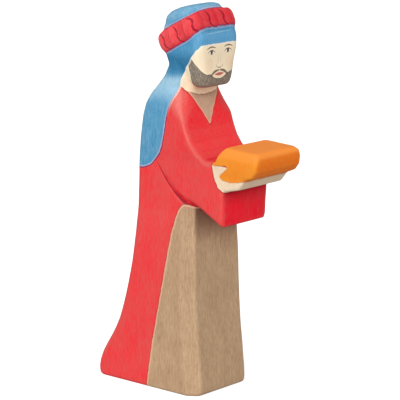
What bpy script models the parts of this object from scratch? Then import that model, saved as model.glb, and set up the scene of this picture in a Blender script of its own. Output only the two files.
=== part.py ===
"""Carved wooden figurine of a wise man who holds out a block-shaped gift.

The figure is one piece of wood: sawn as a side view from a board, then shaped
with a knife and sanded. It faces -Y, stands on its underside at z = 0 and is
the same left and right of x = 0. Lengths below are in millimetres; y runs
backwards from the foot of the skirt's front until the last step, which moves
the finished solid so that its box is centred on x = 0, y = 0.
"""

import math

import bmesh
import bpy

MM = 0.001

# Corner arcs of every cross-section are cut into this many steps.
CORNER_STEPS = 4

# Height of one layer in the lofted body, neck and head.
LAYER = 2.4

# Body, skirt, chest and shoulders, up to the nape.
# Each row: height, front y, back y, half width, front corner along x,
# front corner along y, back corner radius, how flat the front corner is cut.
BODY = [
    (0.0, -0.3, 38.8, 12.5, 2.4, 3.4, 2.0, 0.8),
    (0.7, -0.9, 39.5, 13.0, 2.6, 3.8, 2.5, 0.9),
    (2.6, -1.0, 39.7, 13.0, 2.6, 4.0, 2.5, 0.9),
    (5.0, -0.9, 39.2, 13.0, 2.6, 4.0, 2.5, 0.9),
    (8.0, -0.65, 38.0, 12.9, 2.6, 4.0, 2.5, 0.9),
    (13.6, -0.05, 34.5, 12.8, 2.5, 4.0, 2.5, 0.9),
    (19.3, 0.55, 31.4, 12.8, 2.5, 4.0, 2.5, 0.9),
    (30.0, 1.2, 28.0, 12.7, 2.4, 4.0, 2.5, 0.9),
    (40.5, 1.5, 25.8, 12.4, 2.3, 3.8, 2.5, 0.9),
    (50.7, 1.75, 24.8, 11.8, 2.1, 3.6, 2.5, 0.9),
    (56.0, 1.9, 24.6, 11.2, 2.0, 3.4, 2.5, 0.9),
    (60.7, 1.9, 24.6, 11.0, 1.8, 2.6, 2.5, 0.7),
    (66.0, -1.0, 24.5, 10.85, 1.6, 1.6, 2.5, 0.3),
    (71.2, -4.6, 24.3, 10.85, 1.0, 1.0, 2.5, 0.0),
    (72.6, -2.2, 24.1, 11.0, 1.1, 1.1, 2.5, 0.0),
    (74.6, 0.4, 23.7, 11.2, 1.3, 1.3, 2.5, 0.0),
    (77.2, 2.5, 23.3, 11.4, 1.4, 1.4, 2.5, 0.0),
    (80.6, 4.0, 22.7, 11.5, 1.5, 1.5, 2.5, 0.0),
    (84.0, 4.9, 22.1, 11.5, 1.9, 1.8, 2.5, 0.0),
    (87.5, 5.8, 21.2, 11.3, 5.3, 4.4, 2.6, 0.0),
    (90.5, 6.5, 19.9, 10.4, 5.9, 5.4, 2.8, 0.0),
    (93.0, 7.2, 18.2, 9.5, 5.4, 4.8, 3.0, 0.0),
    (96.0, 6.8, 16.0, 8.9, 3.6, 3.4, 3.0, 0.0),
    (99.4, 6.8, 14.4, 8.7, 3.6, 3.0, 3.0, 0.0),
    (102.6, 6.8, 15.6, 8.9, 3.6, 3.0, 3.0, 0.0),
]

# Neck between the collar and the underside of the chin, same columns but with
# round corners.
NECK = [
    (86.0, 8.4, 12.0, 4.6, 1.6, 1.6, 1.6),
    (90.4, 6.4, 12.5, 6.4, 2.2, 2.2, 2.0),
    (93.0, 5.7, 12.5, 7.0, 2.4, 2.4, 2.0),
    (99.0, 5.2, 12.5, 8.2, 2.6, 2.6, 2.0),
]

# Head from the underside of the chin to the middle of the turban.
HEAD = [
    (93.0, 2.0, 5.2, 5.4, 1.4, 1.4, 1.4),
    (93.6, 1.2, 5.6, 6.9, 3.0, 2.4, 1.6),
    (95.2, 0.8, 6.2, 8.0, 4.2, 3.2, 1.8),
    (98.0, 0.7, 7.4, 8.5, 3.8, 3.4, 2.4),
    (100.4, 0.7, 10.4, 8.8, 3.5, 3.2, 2.6),
    (102.6, 0.6, 15.2, 9.1, 3.1, 2.9, 2.8),
    (104.6, 0.5, 16.2, 9.3, 2.8, 2.6, 3.0),
    (108.0, 0.6, 16.4, 9.3, 2.6, 2.4, 3.0),
    (111.0, 1.2, 16.2, 9.0, 3.0, 3.0, 3.4),
]

# Crown of the turban above the twisted roll.
CROWN = [
    (106.0, 2.4, 15.6, 8.7, 3.4, 3.4, 4.0),
    (112.2, 2.2, 16.5, 8.6, 4.6, 4.6, 4.0),
    (113.6, 2.4, 16.2, 8.4, 5.2, 5.2, 4.2),
    (115.0, 2.8, 14.9, 8.0, 5.8, 5.6, 4.6),
    (116.1, 3.3, 12.4, 7.2, 5.4, 4.8, 4.2),
    (116.9, 3.8, 9.4, 5.8, 4.0, 2.6, 2.6),
    (117.4, 4.4, 7.2, 3.6, 1.8, 1.3, 1.3),
]

# Twisted roll round the turban: it leans back, so its front is the high side.
# At the brow it is flatter, its lower edge is drawn up and its crest is higher.
ROLL_TILT = math.radians(27.0)
ROLL_PIVOT = (8.7, 109.0)
ROLL_HALF_DEPTH = 8.0
ROLL_HALF_WIDTH = 9.3
ROLL_HALF_HEIGHT = 3.1
ROLL_BULGE = 1.1
ROLL_BROW_BULGE = 0.3
ROLL_BROW_LIFT = 1.6
ROLL_BROW_CREST = 0.7
ROLL_FRONT_CORNER = 3.9
ROLL_BACK_CORNER = 3.4
ROLL_STEPS = 8

# Forearms and sleeves as one block: corners of the side view as (y, z),
# starting inside the chest and going down, forwards and back up.
SLEEVE_OUTLINE = [
    (14.0, 74.0),
    (13.6, 67.9),
    (9.8, 63.9),
    (5.9, 61.0),
    (-0.1, 58.2),
    (-9.0, 53.1),
    (-9.7, 64.2),
    (-5.4, 71.4),
    (-2.6, 71.8),
    (4.0, 73.0),
]
SLEEVE_HALF_WIDTH = 10.45
SLEEVE_SPREAD = 0.45
SLEEVE_SPREAD_LENGTH = 12.0
SLEEVE_EDGE = 1.0

# Cut that parts the sleeve from the side of the robe: (y, z), depth, height.
GROOVE = [
    (16.4, 71.2, 0.1, 0.3),
    (13.6, 67.9, 0.4, 0.8),
    (9.8, 63.9, 0.7, 1.2),
    (5.9, 61.0, 0.9, 1.5),
    (1.4, 58.9, 1.0, 1.6),
]

# Pale hands under the gift, side view as (y, z).
HANDS_OUTLINE = [
    (-2.0, 72.5),
    (-7.5, 64.6),
    (-9.6, 64.0),
    (-15.2, 65.3),
    (-17.5, 68.2),
    (-17.0, 72.5),
]
HANDS_HALF_WIDTH = 10.4
HANDS_EDGE = 0.7

# Gift: a small rounded ingot, drawn as layers from the foot up.
# Each layer: front y and z, rear y and z, half width, front corner along x,
# front corner along y, back corner radius.
GIFT_LAYERS = [
    (-17.7, 68.3, -6.3, 69.6, 10.3, 0.7, 0.7, 0.6),
    (-20.4, 69.4, -6.0, 70.9, 10.6, 0.8, 0.9, 0.7),
    (-21.7, 71.2, -6.1, 72.4, 10.7, 0.9, 0.9, 0.8),
    (-22.2, 73.6, -7.2, 74.6, 10.6, 1.0, 0.9, 0.9),
    (-22.1, 75.6, -8.6, 76.3, 10.1, 1.1, 1.0, 1.0),
    (-20.8, 76.6, -9.5, 77.2, 9.2, 1.1, 1.0, 1.0),
]


def clear_scene():
    """Take away whatever the start-up scene holds."""
    for obj in list(bpy.data.objects):
        bpy.data.objects.remove(obj, do_unlink=True)


def smooth_row(table, height):
    """Read a table of rows at any height along a smooth curve."""
    heights = [row[0] for row in table]
    last = len(table) - 1
    index = 0
    while index < last - 1 and height > heights[index + 1]:
        index += 1
    step = heights[index + 1] - heights[index]
    t = (height - heights[index]) / step
    values = []
    for column in range(1, len(table[0])):
        a = table[index][column]
        b = table[index + 1][column]
        rise = (b - a) / step
        slopes = []
        for corner in (index, index + 1):
            if corner == 0 or corner == last:
                slopes.append(rise)
                continue
            before = (table[corner][column] - table[corner - 1][column])
            before /= heights[corner] - heights[corner - 1]
            after = (table[corner + 1][column] - table[corner][column])
            after /= heights[corner + 1] - heights[corner]
            if before * after <= 0.0:
                slopes.append(0.0)
            else:
                slopes.append(2.0 * before * after / (before + after))
        value = a * (1.0 + 2.0 * t) * (1.0 - t) ** 2
        value += b * t * t * (3.0 - 2.0 * t)
        value += slopes[0] * step * t * (1.0 - t) ** 2
        value -= slopes[1] * step * t * t * (1.0 - t)
        values.append(value)
    return values


def layer_heights(table):
    """Every height named in the table, with even layers in between."""
    heights = []
    for low, high in zip(table, table[1:]):
        count = max(1, round((high[0] - low[0]) / LAYER))
        for k in range(count):
            heights.append(low[0] + (high[0] - low[0]) * k / count)
    heights.append(table[-1][0])
    return heights


def section(front, back, half_width, front_x, front_y, back_r, flat=0.0):
    """One closed cross-section: a box with a rounded corner at each side.

    The front corners run from round (flat = 0) to a plain chamfer (flat = 1).
    """
    corners = [
        (half_width - front_x, front + front_y, front_x, front_y, -90.0),
        (half_width - back_r, back - back_r, back_r, back_r, 0.0),
        (-half_width + back_r, back - back_r, back_r, back_r, 90.0),
        (-half_width + front_x, front + front_y, front_x, front_y, 180.0),
    ]
    points = []
    for centre_x, centre_y, radius_x, radius_y, start in corners:
        chamfer = flat if centre_y == front + front_y else 0.0
        first = math.radians(start)
        for k in range(CORNER_STEPS + 1):
            share = k / CORNER_STEPS
            angle = first + 0.5 * math.pi * share
            cos_a = (1.0 - chamfer) * math.cos(angle)
            sin_a = (1.0 - chamfer) * math.sin(angle)
            cos_a += chamfer * ((1.0 - share) * math.cos(first) - share * math.sin(first))
            sin_a += chamfer * ((1.0 - share) * math.sin(first) + share * math.cos(first))
            points.append((centre_x + radius_x * cos_a, centre_y + radius_y * sin_a))
    return points


def mesh_object(name, bm):
    """Turn a bmesh in millimetres into an object in metres."""
    bmesh.ops.recalc_face_normals(bm, faces=bm.faces[:])
    bmesh.ops.scale(bm, vec=(MM, MM, MM), verts=bm.verts[:])
    mesh = bpy.data.meshes.new(name)
    bm.to_mesh(mesh)
    bm.free()
    obj = bpy.data.objects.new(name, mesh)
    bpy.context.scene.collection.objects.link(obj)
    return obj


def loft(name, rings):
    """Skin a stack of rings that all have the same number of points."""
    bm = bmesh.new()
    layers = []
    for ring in rings:
        layers.append([bm.verts.new(point) for point in ring])
    count = len(layers[0])
    for lower, upper in zip(layers, layers[1:]):
        for k in range(count):
            n = (k + 1) % count
            bm.faces.new((lower[k], lower[n], upper[n], upper[k]))
    bm.faces.new(layers[0][::-1])
    bm.faces.new(layers[-1])
    return mesh_object(name, bm)


def table_loft(name, table):
    """Loft a table of cross-sections along the height."""
    rings = []
    for height in layer_heights(table):
        row = smooth_row(table, height)
        rings.append([(x, y, height) for x, y in section(*row)])
    return loft(name, rings)


def tilted_roll(name):
    """The turban's roll: a bulging belt whose plane leans back."""
    rings = []
    cos_t = math.cos(ROLL_TILT)
    sin_t = math.sin(ROLL_TILT)
    for k in range(ROLL_STEPS + 1):
        share = -1.0 + 2.0 * k / ROLL_STEPS
        swell = math.sqrt(max(0.0, 1.0 - abs(share) ** 2.6))
        side = ROLL_BULGE * swell
        brow = ROLL_BROW_BULGE * swell
        outline = section(
            -ROLL_HALF_DEPTH - brow,
            ROLL_HALF_DEPTH + side,
            ROLL_HALF_WIDTH + side,
            ROLL_FRONT_CORNER,
            ROLL_FRONT_CORNER,
            ROLL_BACK_CORNER,
        )
        ring = []
        for x, u in outline:
            front = min(1.0, max(0.0, (-u - 2.0) / (ROLL_HALF_DEPTH - 2.0)))
            lift = 0.5 * ROLL_BROW_LIFT * (1.0 - share) + 0.5 * ROLL_BROW_CREST * (1.0 + share)
            along = share * ROLL_HALF_HEIGHT + lift * front * front
            y = ROLL_PIVOT[0] + u * cos_t + along * sin_t
            z = ROLL_PIVOT[1] - u * sin_t + along * cos_t
            ring.append((x, y, z))
        rings.append(ring)
    return loft(name, rings)


def soften(bm, edges, width):
    """Round a set of edges with a small bevel."""
    bmesh.ops.bevel(
        bm,
        geom=edges,
        offset=width,
        offset_type="OFFSET",
        segments=2,
        profile=0.5,
        affect="EDGES",
        clamp_overlap=True,
    )


def along_side(edge):
    """True for an edge that lies in one of the two sawn sides."""
    return abs(edge.verts[0].co.x - edge.verts[1].co.x) < 0.01


def side_block(outline, half_width, edge):
    """Saw a side view out of a board and soften the edges of both sides."""
    bm = bmesh.new()
    near = [bm.verts.new((-half_width, y, z)) for y, z in outline]
    bm.faces.new(near)
    made = bmesh.ops.extrude_face_region(bm, geom=bm.faces[:])
    moved = [v for v in made["geom"] if isinstance(v, bmesh.types.BMVert)]
    bmesh.ops.translate(bm, vec=(2.0 * half_width, 0.0, 0.0), verts=moved)
    bmesh.ops.recalc_face_normals(bm, faces=bm.faces[:])
    soften(bm, [e for e in bm.edges if along_side(e)], edge)
    return bm


def sleeve_block(name):
    """Both forearms in their wide sleeves, a little narrower at the front."""
    bm = side_block(SLEEVE_OUTLINE, SLEEVE_HALF_WIDTH, SLEEVE_EDGE)
    front = min(y for y, z in SLEEVE_OUTLINE)
    for vertex in bm.verts:
        share = min(1.0, (vertex.co.y - front) / SLEEVE_SPREAD_LENGTH)
        vertex.co.x *= 1.0 + SLEEVE_SPREAD * share / SLEEVE_HALF_WIDTH
    bmesh.ops.triangulate(bm, faces=bm.faces[:])
    return mesh_object(name, bm)


def gift_block(name):
    """An ingot with sloping ends, rounded corners and a smaller top."""
    rings = []
    for layer in GIFT_LAYERS:
        front_y, front_z, rear_y, rear_z = layer[:4]
        slope = (rear_z - front_z) / (rear_y - front_y)
        outline = section(front_y, rear_y, *layer[4:])
        rings.append([(x, y, front_z + slope * (y - front_y)) for x, y in outline])
    return loft(name, rings)


def groove_cutter(name, side):
    """A wedge along the sleeve's lower edge, on one side of the body."""
    rings = []
    surface = SLEEVE_HALF_WIDTH + SLEEVE_SPREAD
    reach = 3.0
    for y, z, depth, height in GROOVE:
        slope = height / depth
        apex = (side * (surface - depth), y, z)
        upper = (side * (surface + reach), y - 0.2, z + 0.3)
        drop = slope * (depth + reach)
        lower = (side * (surface + reach), y + 0.55 * drop, z - 0.84 * drop)
        rings.append([apex, upper, lower])
    return loft(name, rings)


def combine(target, tool, operation):
    """Apply an exact Boolean and drop the tool."""
    modifier = target.modifiers.new(operation.lower(), "BOOLEAN")
    modifier.object = tool
    modifier.operation = operation
    modifier.solver = "EXACT"
    bpy.context.view_layer.objects.active = target
    bpy.ops.object.modifier_apply(modifier=modifier.name)
    bpy.data.objects.remove(tool, do_unlink=True)


def centre_on_base(obj):
    """Put the middle of the box over the origin and the underside at z = 0."""
    points = [v.co for v in obj.data.vertices]
    mid_x = 0.5 * (min(p.x for p in points) + max(p.x for p in points))
    mid_y = 0.5 * (min(p.y for p in points) + max(p.y for p in points))
    low_z = min(p.z for p in points)
    for vertex in obj.data.vertices:
        vertex.co.x -= mid_x
        vertex.co.y -= mid_y
        vertex.co.z -= low_z


def tidy_mesh(obj):
    """Merge doubled points and make every face point outwards."""
    bm = bmesh.new()
    bm.from_mesh(obj.data)
    bmesh.ops.remove_doubles(bm, verts=bm.verts[:], dist=0.00002)
    bmesh.ops.dissolve_degenerate(bm, edges=bm.edges[:], dist=0.00001)
    bmesh.ops.recalc_face_normals(bm, faces=bm.faces[:])
    bm.to_mesh(obj.data)
    bm.free()


def wood_material():
    """Plain pale hardwood."""
    material = bpy.data.materials.new("carved_wood")
    material.use_nodes = True
    shader = material.node_tree.nodes["Principled BSDF"]
    shader.inputs["Base Color"].default_value = (0.72, 0.55, 0.36, 1.0)
    shader.inputs["Roughness"].default_value = 0.6
    return material


def build():
    """Make the figurine."""
    clear_scene()
    figure = table_loft("wise_man_figurine", BODY)
    combine(figure, table_loft("neck", NECK), "UNION")
    combine(figure, table_loft("head", HEAD), "UNION")
    combine(figure, table_loft("crown", CROWN), "UNION")
    combine(figure, tilted_roll("roll"), "UNION")
    combine(figure, sleeve_block("sleeves"), "UNION")
    for side in (-1.0, 1.0):
        combine(figure, groove_cutter("groove", side), "DIFFERENCE")
    hands = side_block(HANDS_OUTLINE, HANDS_HALF_WIDTH, HANDS_EDGE)
    combine(figure, mesh_object("hands", hands), "UNION")
    combine(figure, gift_block("gift"), "UNION")
    tidy_mesh(figure)
    centre_on_base(figure)
    figure.data.materials.append(wood_material())
    return figure


build()
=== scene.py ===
# %% [markdown]
# # A wooden wise man for a nativity scene
# The real object is about 12 cm tall. It is sawn as a side view out of a
# board, shaped with a knife, sanded, and coloured with thin stains, so the
# grain of the wood shows through every colour. This lesson dresses a plain
# solid of that figure: first an even, softly worn skin, then the borders
# between the colours, then the wood and the stains, and last the studio.

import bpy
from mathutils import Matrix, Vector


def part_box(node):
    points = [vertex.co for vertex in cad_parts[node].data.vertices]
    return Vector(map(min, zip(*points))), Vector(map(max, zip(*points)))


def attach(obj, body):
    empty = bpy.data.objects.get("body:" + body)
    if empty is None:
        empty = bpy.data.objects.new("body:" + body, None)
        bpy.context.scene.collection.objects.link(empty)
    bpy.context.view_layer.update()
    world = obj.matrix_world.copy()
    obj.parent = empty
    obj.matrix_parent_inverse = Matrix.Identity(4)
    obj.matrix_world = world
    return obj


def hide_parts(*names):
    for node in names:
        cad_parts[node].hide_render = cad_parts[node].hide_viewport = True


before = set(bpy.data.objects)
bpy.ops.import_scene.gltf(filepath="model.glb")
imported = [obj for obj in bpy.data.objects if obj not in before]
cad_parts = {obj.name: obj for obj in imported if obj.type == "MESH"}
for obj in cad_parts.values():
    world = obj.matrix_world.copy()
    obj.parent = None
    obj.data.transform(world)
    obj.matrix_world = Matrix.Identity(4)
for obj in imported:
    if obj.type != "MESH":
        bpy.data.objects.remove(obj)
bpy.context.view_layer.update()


# %% [markdown]
# ## The camera
# The photograph was taken from the figure's right, a little above it, through
# a long lens, which keeps upright edges nearly parallel. The camera is built
# from its direction: `back` points from the figure to the lens, `right` is
# level, and `up` follows from both.

# %% Place the camera
import math

import bmesh
import bpy
import numpy as np
from mathutils import Matrix, Vector, noise

AZIMUTH = math.radians(-49.15)
ELEVATION = math.radians(12.10)
CAMERA_PLACE = (-0.46832, -0.40543, 0.19041)

back = Vector((
    math.sin(AZIMUTH) * math.cos(ELEVATION),
    -math.cos(AZIMUTH) * math.cos(ELEVATION),
    math.sin(ELEVATION),
))
right = Vector((math.cos(AZIMUTH), math.sin(AZIMUTH), 0.0))
up = back.cross(right)
turn = Matrix((right, up, back)).transposed().to_4x4()

lens = bpy.data.cameras.new("long_lens")
lens.lens = 189.0
lens.sensor_width = 36.0
lens.clip_start = 0.05
lens.clip_end = 20.0
camera = bpy.data.objects.new("camera", lens)
camera.matrix_world = Matrix.Translation(CAMERA_PLACE) @ turn
bpy.context.scene.collection.objects.link(camera)
bpy.context.scene.camera = camera
print("camera is", round(camera.location.length * 1000), "mm from the figure's foot")

# %% [markdown]
# ## One even skin
# The solid is made of long thin triangles, which can't carry soft edges or
# fine colour borders. A voxel remesh lays an even net of small squares over
# it, each about as wide as a pencil line.

# %% Lay an even net over the solid
NET = 0.00044
WELD = 0.000005

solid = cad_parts["wise_man_figurine"]
blank = bmesh.new()
blank.from_mesh(solid.data)
bmesh.ops.remove_doubles(blank, verts=blank.verts[:], dist=WELD)
blank_mesh = bpy.data.meshes.new("carved_figure")
blank.to_mesh(blank_mesh)
blank.free()

figure = bpy.data.objects.new("carved_figure", blank_mesh)
bpy.context.scene.collection.objects.link(figure)
remesh = figure.modifiers.new("even_net", "REMESH")
remesh.mode = "VOXEL"
remesh.voxel_size = NET
remesh.use_smooth_shade = True
shown = figure.evaluated_get(bpy.context.evaluated_depsgraph_get())
net = bpy.data.meshes.new_from_object(shown)
figure.modifiers.clear()
figure.data = net
print("net of", len(net.polygons), "squares")

# %% [markdown]
# ## Sanding
# Three rounds of smoothing do what sandpaper does: flats stay flat, and every
# sharp edge becomes a small round. Where the gift meets the hands, the maker
# cut both with one stroke of the knife, so the gift's ends run straight on
# into the hands. A few more rounds on those points alone wear the step away.

# %% Soften the edges and pare the gift's ends
SANDING_ROUNDS = 3
PARING_ROUNDS = 8
GIFT_END = 0.0090
GIFT_DEPTHS = (-0.0255, -0.0145)
GIFT_FOOT = (0.0672, 0.0712)

skin = bmesh.new()
skin.from_mesh(figure.data)


def sand(points, rounds):
    """Smooth some points of the skin, a few times over."""
    for _ in range(rounds):
        bmesh.ops.smooth_vert(
            skin, verts=points, factor=0.5,
            use_axis_x=True, use_axis_y=True, use_axis_z=True,
        )


sand(skin.verts[:], SANDING_ROUNDS)
ends_of_gift = [
    point for point in skin.verts
    if abs(point.co.x) > GIFT_END
    and GIFT_DEPTHS[0] < point.co.y < GIFT_DEPTHS[1]
    and GIFT_FOOT[0] < point.co.z < GIFT_FOOT[1]
]
sand(ends_of_gift, PARING_ROUNDS)
print("sanded", len(skin.verts), "points and pared", len(ends_of_gift))

# %% [markdown]
# ## Made by hand
# A hand-sanded figure is never perfectly flat. Each point is moved in or out
# by a few hundredths of a millimetre after a slow noise, less near the foot,
# so that the figure still stands flat. The points are kept inside the box of
# the solid, because the size of the part is settled there.

# %% Make the faces a little uneven
HOLLOW = 0.00006
HOLLOW_WIDTH = 0.009
LEVEL_FOOT = 0.002

skin.normal_update()
low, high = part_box("wise_man_figurine")
for point in skin.verts:
    sway = noise.noise(point.co / HOLLOW_WIDTH) * min(1.0, point.co.z / LEVEL_FOOT)
    point.co += point.normal * sway * HOLLOW
    for axis in range(3):
        point.co[axis] = min(high[axis], max(low[axis], point.co[axis]))
skin.to_mesh(figure.data)
skin.free()
print("triangles:", sum(len(face.vertices) - 2 for face in figure.data.polygons))

# %% [markdown]
# ## Measuring on the skin
# The colours meet along drawn lines. Each border is kept as a number on every
# point of the net: how many millimetres the point lies inside the colour
# (above zero) or outside it (below zero). Between the points the number runs
# on smoothly, so a border can be much finer than the net.
#
# The figure was drawn as a side view, so most borders are drawn in that view
# too: `depth` runs from the foot of the skirt's front to the back.

# %% Read the points in millimetres
DEPTH_ZERO = 8.65

count = len(figure.data.vertices)
flat = np.empty(count * 3, dtype=np.float32)
figure.data.vertices.foreach_get("co", flat)
points = flat.reshape(-1, 3).astype(float) * 1000.0
figure.data.vertices.foreach_get("normal", flat)
outward = flat.reshape(-1, 3).astype(float)

ends = np.empty(len(figure.data.edges) * 2, dtype=np.int32)
figure.data.edges.foreach_get("vertices", ends)
first, second = ends.reshape(-1, 2).T

across = points[:, 0]
depth = points[:, 1] + DEPTH_ZERO
height = points[:, 2]
print("depth", depth.min().round(1), "to", depth.max().round(1), "height", height.max().round(1))

# %% [markdown]
# ## How far inside a border
# A border is drawn as a short list of corners. `eased` cuts them so that the
# line flows, `inside_by` measures how far every point lies inside it, and
# `keep` stores the result. `calmed` evens out numbers that jump from point to
# point.

# %% Distance to a drawn outline
def calmed(values, rounds):
    """Average each point with its neighbours on the net, a few times over."""
    degree = np.bincount(first, minlength=count) + np.bincount(second, minlength=count)
    for _ in range(rounds):
        total = np.bincount(first, weights=values[second], minlength=count)
        total += np.bincount(second, weights=values[first], minlength=count)
        values = 0.5 * values + 0.5 * total / np.maximum(degree, 1)
    return values


def eased(outline, rounds):
    """Cut the corners of a closed outline so that it flows."""
    line = np.array(outline, dtype=float)
    for _ in range(rounds):
        after = np.roll(line, -1, axis=0)
        cut = [line * 0.75 + after * 0.25, line * 0.25 + after * 0.75]
        line = np.stack(cut, axis=1).reshape(-1, 2)
    return line


def inside_by(u, v, outline, rounds=2):
    """Millimetres that each point (u, v) lies inside a closed outline."""
    line = eased(outline, rounds)
    nearest = np.full(len(u), 1e9)
    inside = np.zeros(len(u), dtype=bool)
    for (ax, ay), (bx, by) in zip(line, np.roll(line, -1, axis=0)):
        dx = bx - ax
        dy = by - ay
        along = ((u - ax) * dx + (v - ay) * dy) / max(dx * dx + dy * dy, 1e-9)
        along = np.clip(along, 0.0, 1.0)
        nearest = np.minimum(nearest, np.hypot(u - ax - along * dx, v - ay - along * dy))
        if ay != by:
            inside ^= ((ay > v) != (by > v)) & (u < dx * (v - ay) / dy + ax)
    return np.where(inside, nearest, -nearest)


def keep(name, values):
    """Store one number per point under a name that the material can read."""
    layer = figure.data.attributes.new(name, "FLOAT", "POINT")
    layer.data.foreach_set("value", values.astype(np.float32))
    share = np.mean(values > 0) * 100
    print(f"{name}: {values.min():.1f} to {values.max():.1f}, above 0 on {share:.0f}% of the points")


SQUARE = [(-1.0, -1.0), (1.0, -1.0), (1.0, 1.0), (-1.0, 1.0)]
print("middle of a 2 mm square: inside by", inside_by(np.zeros(1), np.zeros(1), SQUARE, rounds=0)[0], "mm")

# %% [markdown]
# ## The borders of the clothes
# The head cloth hangs down the back to shoulder-blade height and frames the
# face. The robe covers everything that no other colour claims. The skirt
# shows in front of the robe's edge and stops just under the sleeve. The
# sleeve is parted from the robe by a carved groove, whose line is kept too.

# %% Head cloth, skirt and sleeve
HEAD_CLOTH = [
    (70.0, 67.5), (30.0, 67.5), (23.3, 67.6), (21.5, 67.8), (19.8, 68.3), (17.9, 69.3),
    (16.5, 70.7), (15.3, 72.2), (14.1, 73.8), (12.9, 77.1), (12.1, 80.8), (11.4, 84.5),
    (10.7, 87.5), (10.0, 89.5), (9.4, 91.3), (9.1, 92.7), (8.7, 93.8), (8.55, 94.9),
    (8.1, 96.2), (6.9, 98.6), (4.95, 100.5), (4.5, 101.5), (3.5, 102.7), (1.5, 104.9),
    (0.6, 106.1), (-1.0, 106.4), (-40.0, 106.4), (-40.0, 140.0), (70.0, 140.0),
]
SKIRT = [
    (19.4, -12.0), (18.75, 0.0), (17.4, 8.6), (16.45, 14.4), (15.05, 20.7), (13.5, 28.1),
    (11.6, 37.6), (10.15, 45.3), (9.1, 50.2), (8.3, 53.1), (7.6, 55.3), (6.95, 56.9),
    (6.1, 58.0), (5.2, 58.6), (4.2, 58.65), (1.0, 57.7), (-0.1, 57.3), (-8.9, 53.1),
    (-30.0, 45.0), (-30.0, -12.0),
]
SLEEVE_SIDE = [
    (17.6, 72.8), (16.4, 71.2), (13.8, 67.7), (11.8, 64.9), (9.5, 62.6), (6.5, 60.2),
    (3.9, 58.9), (-9.0, 52.6), (-60.0, 52.6), (-60.0, 120.0), (17.6, 120.0),
]
keep("cloth", inside_by(depth, height, HEAD_CLOTH))
keep("skirt", inside_by(depth, height, SKIRT, rounds=1))
keep("sleeve_side", inside_by(depth, height, SLEEVE_SIDE, rounds=1))

# %% [markdown]
# ## Neck opening, hands and gift
# The robe opens in a V at the front, so this border is drawn in the front
# view: one half, and then its mirror image. The V is filled with a brown
# stain up to the neck's lower edge. The hands are left as bare wood, and the
# gift's stain runs down over their outer side, with a thumb left free.

# %% Neck opening, hands and gift
NECK_HALF = [
    (0.0, 81.2), (0.0, 81.2), (3.0, 86.2), (6.15, 90.6), (7.3, 92.2), (7.8, 93.0),
    (8.2, 93.4), (8.9, 93.6), (20.0, 93.9), (20.0, 140.0),
]
NECK_OPENING = NECK_HALF + [(-x, z) for x, z in reversed(NECK_HALF[2:])]
NECK_BACK = 11.0
NECK_EDGE, NECK_EDGE_RISE = 90.4, 0.03
OUTSIDE = -5.0
HANDS = [
    (-5.3, 71.8), (-5.4, 71.2), (-6.1, 68.7), (-7.7, 65.2), (-9.4, 63.95), (-12.0, 63.9),
    (-20.0, 62.0), (-40.0, 62.0), (-40.0, 71.8),
]
GIFT = [
    (-5.1, 71.6), (-7.0, 71.75), (-8.7, 71.95), (-11.1, 72.25), (-11.4, 71.3), (-9.4, 69.8),
    (-8.1, 68.7), (-8.9, 67.7), (-11.5, 67.35), (-14.6, 67.55), (-16.6, 68.0), (-17.6, 68.2),
    (-20.6, 68.2), (-40.0, 68.2), (-40.0, 90.0), (-5.1, 90.0),
]
FACES_DOWN = -0.85
FOOT_RIM = 0.35

neck_opening = inside_by(across, height, NECK_OPENING, rounds=1)
keep("neck_opening", np.where(depth < NECK_BACK, neck_opening, OUTSIDE))
keep("neck_front", height - NECK_EDGE - NECK_EDGE_RISE * across**2)
keep("hands", inside_by(depth, height, HANDS, rounds=0))
keep("gift", inside_by(depth, height, GIFT, rounds=1))
keep("underside", np.where(outward[:, 2] < FACES_DOWN, FOOT_RIM - height, -1.0))

# %% [markdown]
# ## The roll round the turban
# A twisted roll of red cloth goes round the head and leans back. Its folds
# are painted as short S-shaped strokes. To paint them, the roll is measured
# like a belt: how far round it a point lies, counted in folds, and how high
# up its width.

# %% Measure the roll like a belt
ROLL_TILT = math.radians(27.0)
ROLL_MIDDLE = (8.7, 109.0)
ROLL_LOWER, ROLL_UPPER = -3.15, 3.2
BROW_LIFT, BROW_CREST = 1.6, 0.7
BELT_WIDE, BELT_FRONT, BELT_BACK, BELT_CORNER = 10.2, 8.4, 9.0, 4.2


def roll_place(x, y, z):
    """Depth along the roll, height across it, and millimetres round it from the brow."""
    dy = y - ROLL_MIDDLE[0]
    dz = z - ROLL_MIDDLE[1]
    u = dy * math.cos(ROLL_TILT) - dz * math.sin(ROLL_TILT)
    rise = dy * math.sin(ROLL_TILT) + dz * math.cos(ROLL_TILT)
    wide = BELT_WIDE - BELT_CORNER
    front = BELT_FRONT - BELT_CORNER
    rear = BELT_BACK - BELT_CORNER
    arc = BELT_CORNER * math.pi / 2
    x = np.abs(x)
    front_turn = np.arctan2(np.maximum(x - wide, 0.0), np.maximum(-front - u, 1e-6))
    rear_turn = np.arctan2(np.maximum(u - rear, 0.0), np.maximum(x - wide, 1e-6))
    at_front = np.minimum(x, wide) + BELT_CORNER * front_turn
    at_side = at_front + np.clip(u + front, 0.0, front + rear)
    at_rear = wide + arc + front + rear + BELT_CORNER * rear_turn + wide - np.minimum(x, wide)
    round_it = np.where(u < -front, at_front, np.where(u > rear, at_rear, at_side))
    return u, rise, round_it


u, rise, round_it = roll_place(across, depth, height)
brow = np.clip((-u - 2.0) / 6.0, 0.0, 1.0)
lower = ROLL_LOWER + BROW_LIFT * brow * brow
upper = ROLL_UPPER + BROW_CREST * brow * brow
keep("roll", calmed(np.minimum(rise - lower, upper - rise), 4))

# %% [markdown]
# ## Counting the folds
# The count of the folds is stored on the corners of the faces, not on the
# points, so it may jump at the back of the head without smearing a face. A
# corner that strays over the middle line goes on counting past it.

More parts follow.
